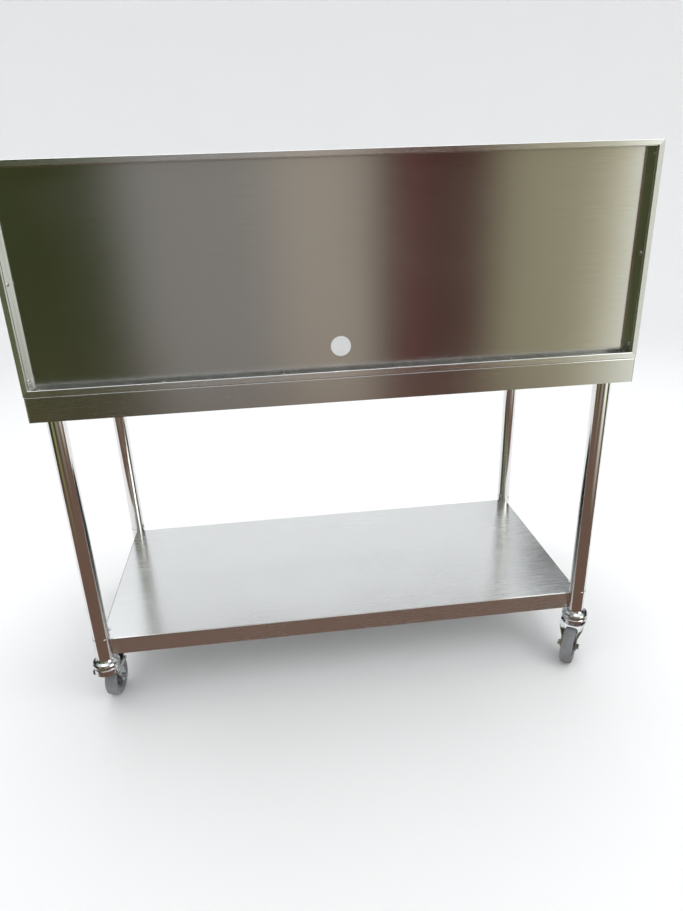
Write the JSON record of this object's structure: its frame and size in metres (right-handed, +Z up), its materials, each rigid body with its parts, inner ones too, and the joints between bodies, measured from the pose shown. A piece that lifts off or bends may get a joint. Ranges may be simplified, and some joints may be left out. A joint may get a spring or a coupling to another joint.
{
  "type": "mobile stainless preparation table",
  "caption": "Mobile stainless preparation table with a flat worktop, a high framed splash with a cable hole, a solid undershelf and swivel casters.",
  "frame": {"origin": "on the floor, under the middle of the whole table", "axes": "+Z up, +X along the length, -Y towards the recessed back of the splash, +Y towards the operator"},
  "size_m": [1.2311, 0.7, 1.21],
  "materials": {
    "brake_pedal": "moulded black nylon",
    "cast_socket": "die-cast",
    "polished_tube": "polished stainless tube",
    "rivet_metal": "satin",
    "shelf_sheet": "brushed stainless sheet",
    "splash_sheet": "brushed stainless sheet",
    "weld_metal": "weld bead",
    "wheel_hub": "moulded grey nylon",
    "wheel_tyre": "grey non-marking rubber",
    "worktop_sheet": "brushed stainless sheet",
    "zinc_plate": "bright zinc plate"
  },
  "bodies": {
    "table": {"caster_front_left_race": "zinc_plate", "caster_front_left_stem": "zinc_plate", "caster_front_right_race": "zinc_plate", "caster_front_right_stem": "zinc_plate", "caster_inserts": "zinc_plate", "caster_rear_left_race": "zinc_plate", "caster_rear_left_stem": "zinc_plate", "caster_rear_right_race": "zinc_plate", "caster_rear_right_stem": "zinc_plate", "deck_channel_left": "worktop_sheet", "deck_channel_right": "worktop_sheet", "deck_stiffeners": "worktop_sheet", "leg_front_left": "polished_tube", "leg_front_right": "polished_tube", "leg_rear_left": "polished_tube", "leg_rear_right": "polished_tube", "leg_set_screws": "zinc_plate", "leg_sockets": "cast_socket", "leg_spigots": "polished_tube", "panel_tack_welds": "weld_metal", "shelf_post_front_left": "polished_tube", "shelf_post_front_right": "polished_tube", "shelf_post_rear_left": "polished_tube", "shelf_post_rear_right": "polished_tube", "splash_foot_lip": "splash_sheet", "splash_left_stile": "splash_sheet", "splash_panel": "splash_sheet", "splash_right_stile": "splash_sheet", "splash_rivets": "rivet_metal", "splash_top_rail": "splash_sheet", "undershelf": "shelf_sheet", "undershelf_stiffener": "shelf_sheet", "worktop_deck": "worktop_sheet"},
    "swivel_rear_left": {"caster_rear_left_fork": "zinc_plate", "caster_rear_left_balls": "zinc_plate", "caster_rear_left_axle": "zinc_plate", "caster_rear_left_brake_pin": "zinc_plate"},
    "wheel_rear_left": {"caster_rear_left_hub": "wheel_hub", "caster_rear_left_tyre": "wheel_tyre"},
    "brake_rear_left": {"caster_rear_left_brake_pedal": "brake_pedal"},
    "swivel_rear_right": {"caster_rear_right_fork": "zinc_plate", "caster_rear_right_balls": "zinc_plate", "caster_rear_right_axle": "zinc_plate"},
    "wheel_rear_right": {"caster_rear_right_hub": "wheel_hub", "caster_rear_right_tyre": "wheel_tyre"},
    "swivel_front_left": {"caster_front_left_fork": "zinc_plate", "caster_front_left_balls": "zinc_plate", "caster_front_left_axle": "zinc_plate"},
    "wheel_front_left": {"caster_front_left_hub": "wheel_hub", "caster_front_left_tyre": "wheel_tyre"},
    "swivel_front_right": {"caster_front_right_fork": "zinc_plate", "caster_front_right_balls": "zinc_plate", "caster_front_right_axle": "zinc_plate", "caster_front_right_brake_pin": "zinc_plate"},
    "wheel_front_right": {"caster_front_right_hub": "wheel_hub", "caster_front_right_tyre": "wheel_tyre"},
    "brake_front_right": {"caster_front_right_brake_pedal": "brake_pedal"}
  },
  "joints": [
    {"name": "swivel_rear_left", "type": "hinge", "parent": "table", "child": "swivel_rear_left", "pos_m": [-0.583, -0.275, 0.11], "axis": [0, 0, 1], "continuous": true},
    {"name": "spin_rear_left", "type": "hinge", "parent": "swivel_rear_left", "child": "wheel_rear_left", "pos_m": [-0.57771, -0.23737, 0.0445], "axis": [0.9903, -0.1392, 0], "continuous": true},
    {"name": "brake_rear_left", "type": "hinge", "parent": "swivel_rear_left", "child": "brake_rear_left", "pos_m": [-0.57743, -0.23539, 0.097], "axis": [-0.9903, 0.1392, 0], "range_deg": [0, 16]},
    {"name": "swivel_rear_right", "type": "hinge", "parent": "table", "child": "swivel_rear_right", "pos_m": [0.583, -0.275, 0.11], "axis": [0, 0, 1], "continuous": true},
    {"name": "spin_rear_right", "type": "hinge", "parent": "swivel_rear_right", "child": "wheel_rear_right", "pos_m": [0.56066, -0.30574, 0.0445], "axis": [-0.809, 0.5878, 0], "continuous": true},
    {"name": "swivel_front_left", "type": "hinge", "parent": "table", "child": "swivel_front_left", "pos_m": [-0.583, 0.268, 0.11], "axis": [0, 0, 1], "continuous": true},
    {"name": "spin_front_left", "type": "hinge", "parent": "swivel_front_left", "child": "wheel_front_left", "pos_m": [-0.57317, 0.2313, 0.0445], "axis": [-0.9659, -0.2588, 0], "continuous": true},
    {"name": "swivel_front_right", "type": "hinge", "parent": "table", "child": "swivel_front_right", "pos_m": [0.583, 0.268, 0.11], "axis": [0, 0, 1], "continuous": true},
    {"name": "spin_front_right", "type": "hinge", "parent": "swivel_front_right", "child": "wheel_front_right", "pos_m": [0.55857, 0.29711, 0.0445], "axis": [0.766, 0.6428, 0], "continuous": true},
    {"name": "brake_front_right", "type": "hinge", "parent": "swivel_front_right", "child": "brake_front_right", "pos_m": [0.55729, 0.29864, 0.097], "axis": [-0.766, -0.6428, 0], "range_deg": [0, 16]}
  ]
}
